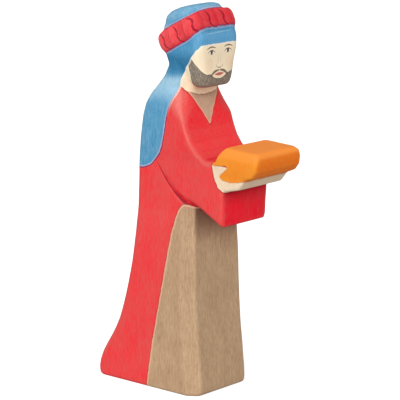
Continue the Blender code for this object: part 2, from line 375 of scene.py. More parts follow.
# %% Store the count of the folds
FOLD_AT = [0.0, 3.2, 10.0, 16.3, 22.0, 28.3, 34.2]
FOLD_COUNT = [0.0, 0.5, 1.5, 2.5, 3.5, 4.5, 5.5]
FOLDS_ROUND = 2.0 * FOLD_COUNT[-1]

corner_point = np.empty(len(figure.data.loops), dtype=np.int32)
figure.data.loops.foreach_get("vertex_index", corner_point)
corners = np.array([face.loop_total for face in figure.data.polygons])
corner_face = np.repeat(np.arange(len(corners)), corners)
middle = np.bincount(corner_face, weights=across[corner_point]) / corners
side = np.where(middle[corner_face] < 0.0, -1.0, 1.0)
folds = np.interp(round_it[corner_point], FOLD_AT, FOLD_COUNT)
strayed = np.sign(across[corner_point]) * side < 0
behind = u[corner_point] > 0.0
folds = np.where(strayed & behind, FOLDS_ROUND - folds, folds)
folds = np.where(strayed & ~behind, -folds, folds) * side
share = (rise - lower)[corner_point] / (upper - lower)[corner_point]
belt = np.stack([folds, share, np.zeros_like(folds)], axis=1).astype(np.float32)
layer = figure.data.attributes.new("belt", "FLOAT_VECTOR", "CORNER")
layer.data.foreach_set("vector", belt.ravel())
print("belt:", round(2 * round_it.max(), 1), "mm, folds", folds.min().round(2), "to", folds.max().round(2))

# %% [markdown]
# ## The folds swell
# Between two strokes the cloth of the real roll is carved a little fuller.
# So each point of the roll is moved out by up to a third of a millimetre,
# most in the middle between two strokes and in the middle of the width.

# %% Let the cloth swell between the folds
SWELL = 0.30

fold_share = np.interp(round_it, FOLD_AT, FOLD_COUNT)
up_share = np.clip((rise - lower) / (upper - lower), 0.0, 1.0)
between_folds = np.abs(np.cos(math.pi * fold_share)) ** 0.7 - 0.6
across_width = (4.0 * up_share * (1.0 - up_share)) ** 0.5
on_roll = (rise > lower) & (rise < upper)
swell = calmed(np.where(on_roll, between_folds * across_width * SWELL, 0.0), 3)
points += outward * swell[:, None]
figure.data.vertices.foreach_set("co", (points / 1000.0).astype(np.float32).ravel())
figure.data.update()
print("swell from", swell.min().round(2), "to", swell.max().round(2), "mm")

# %% [markdown]
# ## The beard
# The beard is stained, not carved. Its border runs from the cloth at the
# temple along the jaw to the chin and back up to the corner of the mouth.
# It is drawn on the head as if that were unrolled: across the front first,
# then along the side.

# %% The beard's border
BEARD = [
    (0.0, 95.55), (1.6, 95.65), (2.9, 96.2), (3.6, 97.1), (4.4, 97.0), (6.4, 97.3),
    (9.4, 99.2), (11.8, 101.4), (13.2, 103.4), (14.4, 103.4), (13.6, 101.0), (12.9, 98.6),
    (12.1, 95.8), (11.0, 93.2), (10.6, 91.5), (-10.6, 91.5), (-10.6, 95.55),
]
FACE_FRONT = 0.6
BEARD_BACK, BEARD_SLOPE, JAW = 4.7, 0.45, 93.2

unrolled = np.abs(across) + np.maximum(0.0, depth - FACE_FRONT)
beard_edge = BEARD_BACK + BEARD_SLOPE * np.maximum(0.0, height - JAW) - depth
keep("beard", np.minimum(inside_by(unrolled, height, BEARD), beard_edge))

# %% [markdown]
# ## Edges, creases and which way faces look
# Stain is thinnest on outward edges, because sandpaper and fingers reach them
# first. Creases are made darker, partly as stain that pools there and partly
# as painted shade. To find them, each point is compared with its neighbours:
# if it stands proud of them, it lies on an edge. Which way a face looks counts
# too: the sawn sides take the stain paler than the carved front, and what
# faces the sky is paler, partly as rubbed stain and partly as painted light
# from above.

# %% Find the edges and read which way the faces look
SHARP_EDGE = 0.016

around = np.stack([calmed(points[:, axis], 1) for axis in range(3)], axis=1)
proud = 2.0 * np.einsum("ij,ij->i", points - around, outward)
turning = np.degrees(np.arctan2(-outward[:, 1], np.abs(outward[:, 0])))
keep("edge", np.clip(calmed(proud, 5) / SHARP_EDGE, -1.0, 1.0))
keep("ridge", calmed(proud, 2) / SHARP_EDGE)
keep("sawn", calmed(np.abs(outward[:, 0]), 6))
keep("skyward", np.clip(calmed(outward[:, 2], 12), -1.0, 1.0))
keep("turning", calmed(turning, 4))

# %% [markdown]
# ## Small tools for materials
# A material is a graph of nodes. A few short helpers keep the graph readable:
# `node` adds one, `feed` gives a socket a number or a link, and `sums` adds a
# Math node and hands back its result. `stain` turns a colour as picked on a
# screen into the linear numbers that a renderer works with.

# %% Node helpers
def stain(red, green, blue):
    """A colour from its screen values of 0 to 255."""
    linear = []
    for value in (red, green, blue):
        v = value / 255.0
        linear.append(v / 12.92 if v <= 0.04045 else ((v + 0.055) / 1.055) ** 2.4)
    return (*linear, 1.0)


def node(tree, kind, **settings):
    """Add a node and set its options."""
    made = tree.nodes.new(kind)
    for key, value in settings.items():
        setattr(made, key, value)
    return made


def feed(tree, socket, value):
    """Link another node's result into a socket, or type a value into it."""
    if isinstance(value, bpy.types.NodeSocket):
        tree.links.new(value, socket)
    else:
        socket.default_value = value


def sums(tree, operation, *values, clamp=False):
    """One Math node."""
    made = node(tree, "ShaderNodeMath", operation=operation, use_clamp=clamp)
    for socket, value in zip(made.inputs, values):
        feed(tree, socket, value)
    return made.outputs[0]


def arrows(tree, operation, first_value, second_value=None):
    """One Vector Math node."""
    made = node(tree, "ShaderNodeVectorMath", operation=operation)
    feed(tree, made.inputs[0], first_value)
    if second_value is not None:
        feed(tree, made.inputs["Scale"] if operation == "SCALE" else made.inputs[1], second_value)
    return made.outputs["Value" if operation in ("DOT_PRODUCT", "LENGTH") else "Vector"]


print("red robe stain in linear numbers:", [round(v, 3) for v in stain(236, 75, 72)])

# %% [markdown]
# ## Groups
# An effect that comes back in several colours is built once, as a node group
# with named sockets, and then placed wherever it is needed.

# %% Group helpers
FLOAT = "NodeSocketFloat"
VECTOR = "NodeSocketVector"
COLOUR = "NodeSocketColor"


def group(name, takes, gives):
    """Start a node group with named sockets."""
    tree = bpy.data.node_groups.new(name, "ShaderNodeTree")
    for label, kind in takes:
        tree.interface.new_socket(label, in_out="INPUT", socket_type=kind)
    for label, kind in gives:
        tree.interface.new_socket(label, in_out="OUTPUT", socket_type=kind)
    return tree, node(tree, "NodeGroupInput").outputs, node(tree, "NodeGroupOutput").inputs


def use(tree, made, **values):
    """Place a group in a tree; underscores in the names stand for blanks."""
    placed = node(tree, "ShaderNodeGroup", node_tree=made)
    for key, value in values.items():
        feed(tree, placed.inputs[key.replace("_", " ").capitalize()], value)
    return placed.outputs


print("sockets:", FLOAT, VECTOR, COLOUR)

# %% [markdown]
# ## The wood
# The board is a pale, close-grained hardwood, and its grain runs up the
# figure. Close up it has three patterns: fine dark pores drawn out along the
# grain, silky lighter and darker streaks, and the faint growth rings of the
# tree. The rings are cylinders round the middle of the trunk, far outside the
# figure, so the sides show them as upright lines and the underside as arcs.

# %% Build the grain
PITH = (46.0, -38.0, 0.0)
RINGS_PER_MM = 0.62
RING_BEND = 5.0


def drawn_noise(tree, place, stretch, detail, roughness):
    """Noise drawn out by different amounts along the three axes."""
    pulled = arrows(tree, "MULTIPLY", place, stretch)
    texture = node(tree, "ShaderNodeTexNoise", noise_dimensions="3D")
    feed(tree, texture.inputs["Vector"], pulled)
    texture.inputs["Scale"].default_value = 1.0
    texture.inputs["Detail"].default_value = detail
    texture.inputs["Roughness"].default_value = roughness
    return texture.outputs["Fac"]


def widened(tree, value, low, high):
    """Stretch the range from low to high out to 0 to 1."""
    made = node(tree, "ShaderNodeMapRange", clamp=True)
    feed(tree, made.inputs["Value"], value)
    made.inputs["From Min"].default_value = low
    made.inputs["From Max"].default_value = high
    return made.outputs["Result"]


grain, takes, gives = group(
    "wood_grain",
    [("Place", VECTOR)],
    [("Pores", FLOAT), ("Streaks", FLOAT), ("Rings", FLOAT), ("Blotches", FLOAT), ("Relief", FLOAT)],
)
place = takes["Place"]
pores = widened(grain, drawn_noise(grain, place, (6.0, 6.0, 0.9), 2.0, 0.55), 0.56, 0.74)
streaks = widened(grain, drawn_noise(grain, place, (2.6, 2.6, 0.40), 3.0, 0.75), 0.34, 0.66)
blotches = widened(grain, drawn_noise(grain, place, (0.16, 0.16, 0.07), 2.0, 0.5), 0.32, 0.68)
from_pith = arrows(grain, "MULTIPLY", arrows(grain, "SUBTRACT", place, PITH), (1.0, 1.0, 0.0))
bend = drawn_noise(grain, place, (0.10, 0.10, 0.018), 1.0, 0.5)
straight_count = sums(grain, "MULTIPLY", arrows(grain, "LENGTH", from_pith), RINGS_PER_MM)
ring_count = sums(grain, "MULTIPLY_ADD", bend, RING_BEND, straight_count)
rings = sums(grain, "POWER", sums(grain, "FRACT", ring_count), 2.5)
relief = sums(grain, "MULTIPLY_ADD", pores, -0.8, sums(grain, "MULTIPLY", streaks, 0.35))
for label, value in zip(gives.keys(), (pores, streaks, rings, blotches, relief)):
    feed(grain, gives[label], value)
print("wood_grain has", len(grain.nodes), "nodes")

# %% [markdown]
# ## A stain and a painted line
# A stain is a thin dye. Where the wood soaks up more of it, the colour is
# deep; on worn edges and hard streaks it is pale. One group does that for
# every colour: it takes the two ends of a colour and how thirsty the wood is
# at that point, and lets the pores darken the result a little. A second group
# draws a line beside a border, from the border's stored distance.

# %% Build the stain and the painted line
LINE_SOFT = 0.14


def blend(tree, share, below, above, way="MIX"):
    """Lay one colour over another."""
    made = node(tree, "ShaderNodeMix", data_type="RGBA", blend_type=way)
    feed(tree, made.inputs["Factor"], share)
    feed(tree, made.inputs["A"], below)
    feed(tree, made.inputs["B"], above)
    return made.outputs["Result"]


def clamped(tree, value):
    """Hold a value between 0 and 1."""
    return sums(tree, "ADD", value, 0.0, clamp=True)


def softened(tree, distance, soft):
    """1 inside an edge and 0 outside it, changing over a soft width."""
    return sums(tree, "ADD", sums(tree, "DIVIDE", distance, soft), 0.5, clamp=True)


dye, takes, gives = group(
    "thin_stain",
    [("Pale", COLOUR), ("Deep", COLOUR), ("Soak", FLOAT), ("Pores", FLOAT), ("Pore strength", FLOAT)],
    [("Colour", COLOUR)],
)
soaked = blend(dye, clamped(dye, takes["Soak"]), takes["Pale"], takes["Deep"])
pore_share = sums(dye, "MULTIPLY", takes["Pores"], takes["Pore strength"], clamp=True)
feed(dye, gives["Colour"], blend(dye, pore_share, soaked, takes["Deep"], "MULTIPLY"))

border, takes, gives = group(
    "painted_line",
    [("Distance", FLOAT), ("Middle", FLOAT), ("Width", FLOAT)],
    [("Line", FLOAT)],
)
off_line = sums(border, "ABSOLUTE", sums(border, "SUBTRACT", takes["Distance"], takes["Middle"]))
half_width = sums(border, "MULTIPLY", takes["Width"], 0.5)
in_line = sums(border, "SUBTRACT", half_width, off_line)
feed(border, gives["Line"], softened(border, in_line, LINE_SOFT))
print("groups:", [made.name for made in bpy.data.node_groups])

# %% [markdown]
# ## A brush stroke
# The face is drawn with a fine brush. One group draws one stroke: it starts
# at a point, ends at another, bows out sideways by `Bend`, and is thickest in
# its middle. It works on the front view, where a point is (across, height).
# A short wide stroke that tapers to nothing makes an almond, which serves for
# the eyes and the lips.

# %% Build the brush stroke
BRUSH_SOFT = 0.10

brush, takes, gives = group(
    "brush_stroke",
    [("Place", VECTOR), ("Start", VECTOR), ("End", VECTOR)]
    + [("Bend", FLOAT), ("Width", FLOAT), ("Taper", FLOAT)],
    [("Stroke", FLOAT)],
)


def squared(value):
    """The square of a length that may be below zero."""
    return sums(brush, "POWER", sums(brush, "ABSOLUTE", value), 2.0)


run = arrows(brush, "SUBTRACT", takes["End"], takes["Start"])
run_length = arrows(brush, "LENGTH", run)
run_way = arrows(brush, "NORMALIZE", run)
aside = arrows(brush, "CROSS_PRODUCT", run_way, (0.0, -1.0, 0.0))
to_place = arrows(brush, "SUBTRACT", takes["Place"], takes["Start"])
part_way = sums(brush, "DIVIDE", arrows(brush, "DOT_PRODUCT", to_place, run_way), run_length)
on_stroke = clamped(brush, part_way)
bow = sums(brush, "MULTIPLY", on_stroke, sums(brush, "SUBTRACT", 1.0, on_stroke))
full_bow = sums(brush, "MULTIPLY", bow, 4.0)
side_off = sums(brush, "MULTIPLY_ADD", full_bow, takes["Bend"], arrows(brush, "DOT_PRODUCT", to_place, aside))
past_end = sums(brush, "MULTIPLY", sums(brush, "SUBTRACT", part_way, on_stroke), run_length)
apart = sums(brush, "SQRT", sums(brush, "ADD", squared(side_off), squared(past_end)))
thin = sums(brush, "MULTIPLY", takes["Taper"], sums(brush, "SUBTRACT", 1.0, full_bow))
half_brush = sums(brush, "MULTIPLY", takes["Width"], 0.5)
half_stroke = sums(brush, "MULTIPLY", half_brush, sums(brush, "SUBTRACT", 1.0, thin))
in_stroke = sums(brush, "SUBTRACT", half_stroke, apart)
feed(brush, gives["Stroke"], softened(brush, in_stroke, BRUSH_SOFT))
print("brush_stroke has", len(brush.nodes), "nodes")

# %% [markdown]
# ## The finish
# Now the material itself. It reads the grain in object coordinates, scaled to
# millimetres, and the stored distances. `wobble` shifts every border a tenth
# of a millimetre to and fro, as a steady hand would.

# %% Start the finish
finish = bpy.data.materials.new("stained_wood_painted")
finish.use_nodes = True
tree = finish.node_tree
shader = tree.nodes["Principled BSDF"]
object_place = node(tree, "ShaderNodeTexCoord").outputs["Object"]
millimetres = arrows(tree, "SCALE", object_place, 1000.0)
place_xyz = node(tree, "ShaderNodeSeparateXYZ")
feed(tree, place_xyz.inputs[0], millimetres)
wood = use(tree, grain, place=millimetres)


def times(*values):
    """Multiply masks and numbers."""
    product = values[0]
    for value in values[1:]:
        product = sums(tree, "MULTIPLY", product, value)
    return product


def scaled(value, factor, offset):
    """The value times a factor, plus an offset."""
    return sums(tree, "MULTIPLY_ADD", value, factor, offset)


def off_middle(value):
    """Shift 0 to 1 down, so that its middle is 0."""
    return sums(tree, "SUBTRACT", value, 0.5)


wobble = times(off_middle(drawn_noise(tree, millimetres, (0.7, 0.7, 0.7), 2.0, 0.5)), 0.55)
print("the finish starts with", len(tree.nodes), "nodes")

# %% [markdown]
# ## Laying stain and paint
# The rest of the finish is said in a few words: `stored` and `inside` read a
# border, `dyed` stains a surface, `line` draws beside a border, and `lay`
# puts an ink over a colour.

# %% Helpers that lay stain and paint
def stored(name):
    """A stored number, read from the piece."""
    return node(tree, "ShaderNodeAttribute", attribute_name=name).outputs["Fac"]


def inside(name, soft=0.12):
    """The distance to a border and a mask of its inside, with the hand's wobble."""
    distance = sums(tree, "ADD", stored(name), wobble)
    return distance, softened(tree, distance, soft)


def by_height(start, full):
    """0 at one height in millimetres, 1 at another."""
    return widened(tree, place_xyz.outputs["Z"], start, full)


def dyed(pale, deep, thirst, pore_strength):
    """A stained surface, from the two ends of its colour and its thirst."""
    return use(
        tree, dye, pale=pale, deep=deep, soak=thirst,
        pores=wood["Pores"], pore_strength=pore_strength,
    )["Colour"]


def line(distance, middle, width):
    """A painted line beside a border, placed and measured in millimetres."""
    return use(tree, border, distance=distance, middle=middle, width=width)["Line"]


def lay(below, mask, strength, ink):
    """Lay ink over a colour where the mask says, at part strength."""
    return blend(tree, times(mask, strength), below, ink)


print("helpers ready for", finish.name)

# %% [markdown]
# ## How thirsty the wood is
# `soak` says how much stain the wood drinks at each point: more in soft
# streaks, blotches and rings, less on edges that hands have worn. In creases
# it is raised too, partly for stain that pools there and partly as painted
# shade.

# %% Add up the thirst
edge = stored("edge")
worn = widened(tree, scaled(wood["Blotches"], 0.25, edge), 0.30, 1.15)
# Creases: darkened partly as pooled stain, partly as painted shade.
crease_pool_and_shade = widened(tree, times(edge, -1.0), 0.15, 0.9)
soak = scaled(off_middle(wood["Streaks"]), 0.50, 0.52)
soak = scaled(off_middle(wood["Blotches"]), 0.20, soak)
soak = scaled(wood["Rings"], 0.05, soak)
soak = scaled(worn, -0.14, soak)
soak = scaled(crease_pool_and_shade, 0.35, soak)
print("the thirst takes", len(tree.nodes), "nodes")

# %% [markdown]
# ## The robe
# The colours are laid one over another in the order in which the maker would
# stain them, and the robe comes first, over everything. It is paler on the
# sawn sides, and where it faces up, most on the shoulders, it is paler and
# broken by the wood's streaks: partly rubbed stain, partly painted light from
# above. In creases it is darker, partly as pooled stain and partly as painted
# shade, and in front under the hands a painted shade darkens it.

# %% Stain the robe
SLEEVE_FRONT = -9.0 - DEPTH_ZERO

sawn_side = stored("sawn")
lies_up = stored("skyward")
skyward = widened(tree, lies_up, 0.08, 0.34)
robe_soak = scaled(sawn_side, -0.46, sums(tree, "ADD", soak, 0.37))
# Paler where the robe faces up: partly rubbed stain, partly painted light from above.
robe_soak = scaled(skyward, -0.40, robe_soak)
robe = dyed(stain(222, 94, 88), stain(252, 22, 46), robe_soak, 0.16)

# A pale, streaky patch on the shoulders: partly rubbed stain, partly painted light from above.
shoulder_light_and_wear = times(widened(tree, lies_up, 0.04, 0.34), widened(tree, sawn_side, 0.28, 0.62))
pale_streaks = scaled(wood["Streaks"], -0.50, scaled(sawn_side, -0.24, 0.78))
shoulder_height = times(by_height(84.9, 87.6), scaled(by_height(88.5, 92.0), 0.65, 0.90))
robe = lay(robe, times(shoulder_light_and_wear, pale_streaks), shoulder_height, stain(226, 122, 112))
# Creases are darker: partly pooled stain, partly painted shade.
robe = lay(robe, crease_pool_and_shade, 0.45, stain(186, 16, 36))

# A painted shade on the sleeves' front, just under the hands.
carved_front = widened(tree, sawn_side, 0.75, 0.40)
before_sleeve = widened(tree, place_xyz.outputs["Y"], SLEEVE_FRONT + 2.0, SLEEVE_FRONT + 1.0)
painted_shade_under_hands = times(carved_front, by_height(59.5, 64.5), before_sleeve)
robe = lay(robe, painted_shade_under_hands, 0.45, stain(148, 8, 30))
print("robe stained, with", len(tree.nodes), "nodes")

# %% [markdown]
# ## A pale corner and the groove's shadow
# The chest's rounded corner is paler where it turns towards the front, partly
# as stain rubbed by the hands that lift the figure and partly as a painted
# highlight. The groove that parts the sleeve from the robe gets a thin dark
# line of painted shadow, which starts fine behind the elbow and grows wider
# towards the skirt.

# %% Pale the chest's corner and paint the shadow in the sleeve's groove
CORNER_TURN = 38.0

off_corner = sums(tree, "ABSOLUTE", sums(tree, "SUBTRACT", stored("turning"), CORNER_TURN))
on_corner = widened(tree, off_corner, 17.0, 3.0)
on_chest = times(by_height(75.0, 79.0), by_height(94.0, 90.0))
# Paler on the corner: partly rubbed stain, partly a painted highlight.
corner_highlight_and_wear = times(on_corner, on_chest, scaled(wood["Streaks"], 0.45, 0.04))
robe = blend(tree, corner_highlight_and_wear, robe, stain(240, 156, 146))

groove_in = scaled(wobble, 0.4, stored("sleeve_side"))
# A painted shadow line in the sleeve's groove, widest at its lower end.
groove_shadow_line = line(groove_in, -0.12, scaled(by_height(63.0, 59.2), 0.55, 0.34))
groove_height = times(by_height(71.8, 67.0), by_height(57.6, 58.6))
robe = lay(robe, times(groove_shadow_line, groove_height), 0.80, stain(130, 14, 34))
print("worn and drawn, with", len(tree.nodes), "nodes")

# %% [markdown]
# ## The skirt and the neck opening
# Where two stains meet, they overlap in a thin dark line, with a thin line of
# nearly bare wood beside it. In front, high up under the sleeves, a painted
# shade darkens the skirt's brown. The V of the neck opening is a paler brown,
# and a fine line parts it from the bare wood of the neck.

# %% Stain the skirt and the neck opening
brown = dyed(stain(213, 181, 145), stain(166, 130, 99), soak, 0.24)
# A painted shade on the skirt's front, darkest just under the sleeves.
painted_shade_under_sleeves = times(carved_front, by_height(46.5, 57.0))
brown = lay(brown, painted_shade_under_sleeves, 0.75, stain(104, 78, 62))
skirt_in, skirt = inside("skirt")
colour = blend(tree, skirt, robe, brown)
colour = lay(colour, line(skirt_in, -0.10, 0.42), 0.40, stain(158, 60, 50))
colour = lay(colour, line(skirt_in, 0.36, 0.46), 0.68, stain(246, 184, 154))

bare = dyed(stain(252, 232, 204), stain(236, 204, 166), soak, 0.15)
opening_in, opening = inside("neck_opening")
neck_in, neck_front = inside("neck_front")
neck_brown = dyed(stain(220, 188, 160), stain(186, 153, 128), soak, 0.3)
neck_colour = blend(tree, neck_front, neck_brown, bare)
neck_colour = lay(neck_colour, line(neck_in, -0.05, 0.40), 0.62, stain(140, 102, 78))
colour = blend(tree, opening, colour, neck_colour)
colour = lay(colour, line(opening_in, -0.12, 0.34), 0.55, stain(170, 40, 44))
colour = lay(colour, line(opening_in, 0.34, 0.50), 0.70, stain(248, 170, 140))
print("robe, skirt and neck use", len(tree.nodes), "nodes")

# %% [markdown]
# ## The face
# The face is painted on the flat front of the head and follows the usual
# rules for drawing a head. The eyes sit halfway between the chin and the top
# of the skull, which ends a little below the turban's top. From brow to chin,
# the nose ends halfway, and the mouth sits a third of the way below it. The
# head is five eyes wide. One side is drawn, and the other is its mirror
# image, with a trace of the hand's wobble to keep it alive.

# %% Set out the face
CHIN, SKULL_TOP = 93.0, 114.0
EYE_LINE = (CHIN + SKULL_TOP) / 2
BROW_LINE = EYE_LINE + 1.35
NOSE_LINE = (CHIN + BROW_LINE) / 2
MOUTH_LINE = NOSE_LINE - (NOSE_LINE - CHIN) / 3
HEAD_WIDTH = 18.4
EYE_WIDTH = HEAD_WIDTH / 5
FACE_DEPTH = 3.0
FACE_FOOT = 92.5


def front_view(x, z):
    """A place in the front view."""
    made = node(tree, "ShaderNodeCombineXYZ")
    feed(tree, made.inputs["X"], x)
    feed(tree, made.inputs["Z"], z)
    return made.outputs[0]


face_x = sums(tree, "ADD", place_xyz.outputs["X"], times(wobble, 0.35))
face_z = scaled(wobble, -0.30, place_xyz.outputs["Z"])
mirrored = front_view(sums(tree, "ABSOLUTE", face_x), face_z)
unmirrored = front_view(face_x, face_z)
on_face = times(
    sums(tree, "LESS_THAN", place_xyz.outputs["Y"], FACE_DEPTH - DEPTH_ZERO),
    sums(tree, "GREATER_THAN", place_xyz.outputs["Z"], FACE_FOOT),
)


def stroke(start, end, bend, width, taper, whole=False):
    """One brush stroke on the face, on both halves unless it is whole."""
    drawn = use(
        tree, brush, place=unmirrored if whole else mirrored,
        start=(start[0], 0.0, start[1]), end=(end[0], 0.0, end[1]),
        bend=bend, width=width, taper=taper,
    )["Stroke"]
    return times(drawn, on_face)


lines_at = [round(z, 2) for z in (BROW_LINE, EYE_LINE, NOSE_LINE, MOUTH_LINE)]
print("heights of brows, eyes, nose and mouth:", lines_at)

# %% [markdown]
# ## Skin and beard
# The face is bare wood under a clear coat, with a breath of red on the cheek.
# The beard is a grey-brown stain with fine hairs, which are noise drawn out
# along the height, and its edge has a soft dark rim.

# %% Paint skin and beard
skin_colour = dyed(stain(255, 244, 214), stain(255, 232, 196), soak, 0.15)
cheek = stroke((4.4, NOSE_LINE + 1.2), (4.9, NOSE_LINE + 0.6), 0.0, 3.4, 0.0)
face_colour = lay(skin_colour, cheek, 0.10, stain(236, 150, 120))
hairs = widened(tree, drawn_noise(tree, millimetres, (3.4, 3.4, 0.9), 3.0, 0.6), 0.35, 0.65)
beard_colour = dyed(stain(160, 148, 134), stain(98, 90, 80), hairs, 0.3)
beard_in, beard = inside("beard")
face_colour = lay(face_colour, beard, 0.94, beard_colour)
face_colour = lay(face_colour, line(beard_in, 0.12, 0.30), 0.45, stain(88, 80, 68))
colour = blend(tree, times(opening, neck_front), colour, face_colour)
print("skin and beard bring it to", len(tree.nodes), "nodes")

# %% [markdown]
# ## The features
# Each feature is one stroke: where it starts and ends, its bend, its width
# and its taper, then the ink and how strongly it covers. They are laid from
# the white of the eye to the line between the lips.

# %% Paint eyes, brows, nose and mouth
HAIR_BROWN = stain(92, 72, 52)
LID_BROWN = stain(84, 66, 50)
EYE_IN, EYE_OUT = EYE_WIDTH * 0.60, EYE_WIDTH * 1.40
FEATURES = {
    "white of the eye": (
        stroke((EYE_IN, EYE_LINE), (EYE_OUT, EYE_LINE), 0.10, 1.35, 1.0),
        stain(255, 250, 240), 0.85),
    "iris": (
        stroke((EYE_WIDTH, EYE_LINE - 0.05), (EYE_WIDTH, EYE_LINE + 0.25), 0.0, 0.95, 0.0),
        stain(104, 76, 50), 0.95),
    "pupil": (
        stroke((EYE_WIDTH, EYE_LINE + 0.05), (EYE_WIDTH, EYE_LINE + 0.15), 0.0, 0.46, 0.0),
        stain(40, 30, 24), 0.95),
    "upper lid": (
        stroke((EYE_IN - 0.10, EYE_LINE - 0.05), (EYE_OUT + 0.15, EYE_LINE), 0.68, 0.34, 0.5),
        LID_BROWN, 0.92),
    "lower lid": (
        stroke((EYE_IN + 0.30, EYE_LINE - 0.25), (EYE_OUT - 0.20, EYE_LINE - 0.20), -0.34, 0.16, 0.4),
        LID_BROWN, 0.45),
    "brow": (
        stroke((EYE_IN - 0.25, BROW_LINE - 0.05), (EYE_OUT + 0.55, BROW_LINE - 0.20), 0.46, 0.44, 0.6),
        HAIR_BROWN, 0.85),
    "nostril": (
        stroke((0.95, NOSE_LINE + 0.20), (1.30, NOSE_LINE + 0.75), -0.28, 0.26, 0.5),
        LID_BROWN, 0.65),
    "tip of the nose": (
        stroke((-0.85, NOSE_LINE), (0.85, NOSE_LINE), -0.16, 0.30, 0.5, whole=True),
        LID_BROWN, 0.75),
    "ridge of the nose": (
        stroke((0.62, NOSE_LINE + 1.0), (0.75, EYE_LINE - 0.2), 0.12, 0.20, 0.6),
        LID_BROWN, 0.28),
    "moustache": (
        stroke((0.25, NOSE_LINE - 0.85), (3.75, MOUTH_LINE - 0.55), 0.42, 0.78, 0.55),
        stain(106, 94, 80), 0.90),
    "lips": (
        stroke((-2.05, MOUTH_LINE), (2.05, MOUTH_LINE), -0.08, 1.00, 0.95, whole=True),
        stain(214, 112, 108), 0.90),
    "line between the lips": (
        stroke((-1.95, MOUTH_LINE + 0.05), (1.95, MOUTH_LINE + 0.05), -0.14, 0.20, 0.6, whole=True),
        stain(150, 62, 62), 0.80),
}
for mask, ink, strength in FEATURES.values():
    colour = lay(colour, mask, strength, ink)
print("painted:", ", ".join(FEATURES))

# %% [markdown]
# ## The head cloth
# The blue of the head cloth is thinner than the red, so the wood clouds it
# more. It is paler where it slopes out from the nape to the shoulders and on
# top of the crown: partly rubbed stain, partly painted light from above. It is
# deepest at the temples, where the sides face away from the sky: a painted
# shade. Under the roll it was wiped, so it is a little lighter there.

# %% Stain the head cloth
clouds = widened(tree, drawn_noise(tree, millimetres, (0.5, 0.5, 0.22), 4.0, 0.65), 0.32, 0.68)
cloth_soak = scaled(off_middle(clouds), 0.16, scaled(soak, 0.55, 0.23))
on_head = by_height(95.6, 98.4)
cloth_soak = scaled(on_head, 0.10, sums(tree, "ADD", cloth_soak, 0.26))
# Paler on the slope from nape to shoulders: partly rubbed stain, partly painted light from above.
on_slope = times(by_height(87.6, 92.4), by_height(97.2, 94.8))
cloth_soak = scaled(on_slope, -0.66, cloth_soak)
# Paler on top of the crown: partly rubbed stain, partly painted light from above.
on_crown = by_height(104.0, 110.0)
cloth_soak = scaled(times(skyward, on_crown), -0.26, cloth_soak)
blue = dyed(stain(168, 206, 226), stain(56, 142, 186), cloth_soak, 0.20)

# A painted shade on the head's upright sides, below the roll.
temple_shade = times(on_head, widened(tree, sawn_side, 0.35, 0.85))
temple_shade = times(temple_shade, scaled(skyward, -0.75, 0.75), by_height(105.0, 101.5))
blue = blend(tree, temple_shade, blue, stain(44, 114, 156))
under_roll = times(by_height(101.5, 104.5), by_height(111.0, 108.0))
blue = lay(blue, under_roll, scaled(sawn_side, -0.40, 0.62), stain(110, 178, 226))
cloth_in, cloth = inside("cloth")
colour = blend(tree, cloth, colour, blue)
print("the cloth brings it to", len(tree.nodes), "nodes")

# %% [markdown]
# ## The cloth's edges
# A dark line of indigo runs along the cloth's lower edge, with a line of
# bare, slightly lilac wood inside it. Both fade out below the chin, and round
# the face a rim of bare wood takes their place. One pale crease crosses the
# forehead.

# %% Draw the cloth's edges
INDIGO = stain(78, 44, 96)
LILAC = stain(212, 184, 206)

below_chin = by_height(93.0, 84.0)
colour = lay(colour, times(line(cloth_in, -0.10, 0.34), below_chin), 0.85, INDIGO)
colour = lay(colour, times(line(cloth_in, 0.28, 0.42), below_chin), 0.55, LILAC)
beside_face = scaled(below_chin, -0.6, 0.6)
colour = lay(colour, line(cloth_in, -0.26, 0.50), beside_face, stain(252, 246, 232))
crease = stroke((-6.0, 109.0), (5.2, 109.3), 0.15, 0.34, 0.7, whole=True)
colour = lay(colour, crease, 0.45, stain(176, 212, 232))
print("edges drawn, with", len(tree.nodes), "nodes")

# %% [markdown]
# ## The roll and its folds
# The roll gets outlines along both its edges, and on it the S-shaped strokes
# of its folds. A curve says how far a stroke leans aside at each height, and
# a chance number per fold makes some strokes shorter than others.

# %% Stain the roll and lay the curve of a fold
FOLD_PATH = [
    (0.0, 0.95), (0.06, 0.62), (0.16, 0.44), (0.30, 0.40),
    (0.44, 0.56), (0.56, 0.54), (0.68, 0.34), (0.74, 0.10),
]

roll_in, roll = inside("roll")
roll_red = dyed(stain(250, 116, 116), stain(244, 22, 44), sums(tree, "ADD", soak, 0.09), 0.25)
colour = blend(tree, roll, colour, roll_red)
colour = lay(colour, line(roll_in, 0.02, 0.34), 0.60, stain(128, 40, 84))
colour = lay(colour, line(roll_in, -0.36, 0.34), 0.46, LILAC)

path = node(tree, "ShaderNodeFloatCurve")
curve = path.mapping.curves[0]
for point, spot in zip(curve.points, FOLD_PATH):
    point.location = spot
for spot in FOLD_PATH[2:]:
    curve.points.new(*spot)
path.mapping.update()
print("the curve of a fold has", len(curve.points), "points")

# %% [markdown]
# ## Folds all round
# The fraction of the fold count says how far beside a stroke a point lies,
# and the whole part says which stroke it is, so one curve draws them all.

# %% Draw the folds
FOLD_GAP = 6.3
FOLD_LEAN = 2.6
FOLD_END = 0.76

